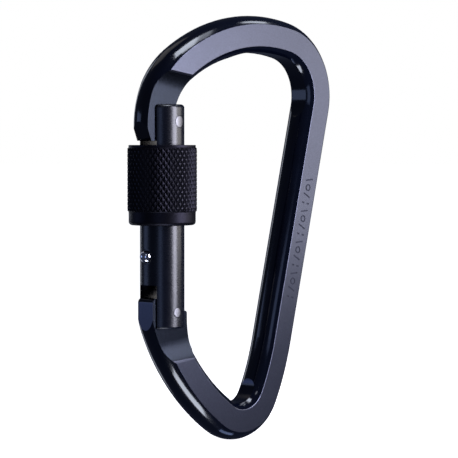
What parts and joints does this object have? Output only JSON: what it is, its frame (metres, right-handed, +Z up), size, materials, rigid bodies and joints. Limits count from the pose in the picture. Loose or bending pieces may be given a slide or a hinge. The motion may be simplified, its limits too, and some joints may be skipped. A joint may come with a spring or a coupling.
{
  "type": "locking carabiner",
  "caption": "D-shaped screw-lock carabiner with a forged bar frame, a sprung gate and a knurled locking sleeve.",
  "frame": {"origin": "crown of the top basket: the highest point of the inside, on the bar's middle plane", "axes": "+Z up along the gate and the long way of the frame, +X from the gate towards the spine, -Y out of the front face"},
  "size_m": [0.0685, 0.0176, 0.11],
  "materials": {
    "frame_anodised": "dark anodised aluminium, gloss round sides and satin flats",
    "gate_anodised": "gloss dark anodised aluminium, turned",
    "sleeve_anodised": "satin dark anodised aluminium, diamond knurl",
    "rivet_steel": "bright ground stainless rivet",
    "ball_steel": "polished bearing steel",
    "spring_steel": "drawn spring wire",
    "plunger_steel": "turned stainless steel"
  },
  "bodies": {
    "frame": {"frame": "frame_anodised"},
    "gate": {"gate": "gate_anodised", "hinge_pin": "rivet_steel", "latch_pin": "rivet_steel", "stop_ball": "ball_steel", "gate_spring": "spring_steel"},
    "sleeve": {"sleeve": "sleeve_anodised"},
    "plunger": {"plunger": "plunger_steel"}
  },
  "joints": [
    {"name": "gate_hinge", "type": "hinge", "parent": "frame", "child": "gate", "pos_m": [-0.0324, 0, -0.06605], "axis": [0, 1, 0], "range_deg": [0, 28], "stiffness_Nm_per_rad": 0.15, "springref_deg": -91.67},
    {"name": "sleeve_travel", "type": "slide", "parent": "gate", "child": "sleeve", "axis": [0, 0, 1], "range_m": [-0.006, 0.003]},
    {"name": "plunger_slide", "type": "slide", "parent": "gate", "child": "plunger", "axis": [0, 0, 1], "range_m": [0, 0.00135], "deforming": ["gate_spring"]}
  ],
  "couplings": [
    {"joint": "plunger_slide", "follows": "gate_hinge", "m_per_rad": 0.002662}
  ]
}
